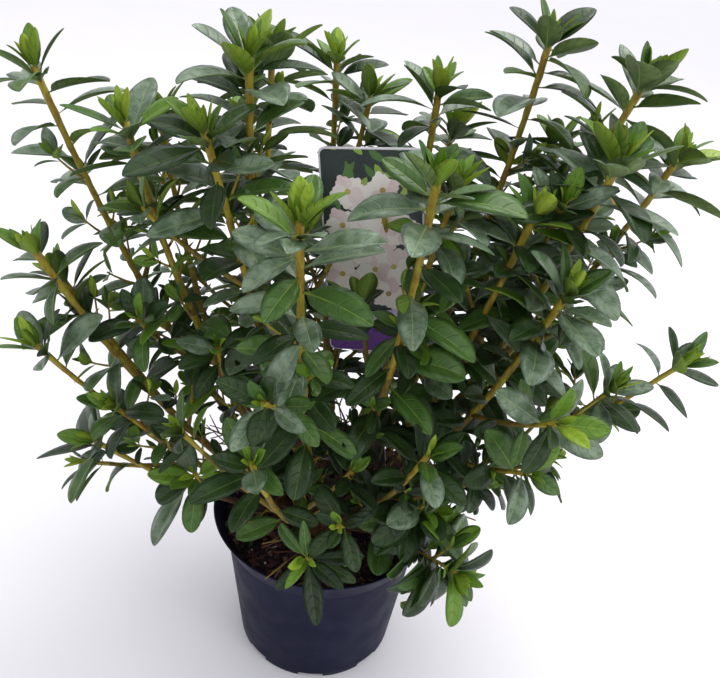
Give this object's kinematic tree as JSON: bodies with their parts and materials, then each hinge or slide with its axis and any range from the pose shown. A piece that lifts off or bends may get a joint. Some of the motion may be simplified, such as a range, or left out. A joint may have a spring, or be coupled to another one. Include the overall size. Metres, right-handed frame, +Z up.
{
  "type": "potted azalea shrub",
  "caption": "Young azalea shrub in a round nursery pot: a clump of leafy stems on one woody stool, with soil and a plain plant label.",
  "frame": {"origin": "centre of the pot's flat underside, on the surface it stands on", "axes": "+Z up along the pot's axis, -Y towards the plant's front, where the label faces, +X to the right seen from the front"},
  "size_m": [0.6405, 0.4857, 0.6694],
  "materials": {
    "pot_plastic": "satin dark slate plastic",
    "soil": "coarse bark and peat",
    "label_card": "printed plastic card",
    "old_bark": "rough old bark",
    "stem_bark": "young bark",
    "leaf": "satin evergreen leaves"
  },
  "bodies": {
    "root": {"plant_label": "label_card", "nursery_pot": "pot_plastic", "potting_soil": "soil", "stool": "old_bark", "bough_left_high": "stem_bark", "bough_left_upper": "stem_bark", "bough_centre_left": "stem_bark", "bough_centre_back": "stem_bark", "bough_centre_right": "stem_bark", "bough_front_tall": "stem_bark", "bough_front_centre": "stem_bark", "bough_right_top": "stem_bark", "bough_right_upper": "stem_bark", "bough_right_far": "stem_bark", "bough_left_out": "stem_bark", "bough_left_low": "stem_bark", "bough_right_front": "stem_bark", "bough_right_out": "stem_bark", "bough_back_right": "stem_bark", "bough_back_left": "stem_bark", "bough_back_far_left": "stem_bark", "bough_back_far_right": "stem_bark", "bough_back_out": "stem_bark", "bough_left_skirt": "stem_bark", "bough_left_inner": "stem_bark", "bough_right_high": "stem_bark", "bough_right_inner": "stem_bark", "mass_left_high": "leaf", "mass_left_upper": "leaf", "mass_left_inner": "leaf", "mass_centre_left": "leaf", "mass_centre_back": "leaf", "mass_centre_right": "leaf", "mass_front_tall": "leaf", "mass_front_centre": "leaf", "mass_right_top": "leaf", "mass_right_high": "leaf", "mass_right_upper": "leaf", "mass_right_far": "leaf", "mass_right_inner": "leaf", "mass_left_out": "leaf", "mass_left_low": "leaf", "mass_right_front": "leaf", "mass_right_out": "leaf", "mass_back_right": "leaf", "mass_back_left": "leaf", "mass_back_far_left": "leaf", "mass_back_far_right": "leaf", "mass_back_out": "leaf", "mass_left_skirt": "leaf", "mass_front_left_skirt": "leaf", "mass_front_skirt": "leaf", "mass_front_inner": "leaf", "mass_front_right_skirt": "leaf", "mass_right_skirt": "leaf", "mass_front_rise": "leaf", "mass_back_skirt": "leaf"}
  },
  "joints": []
}
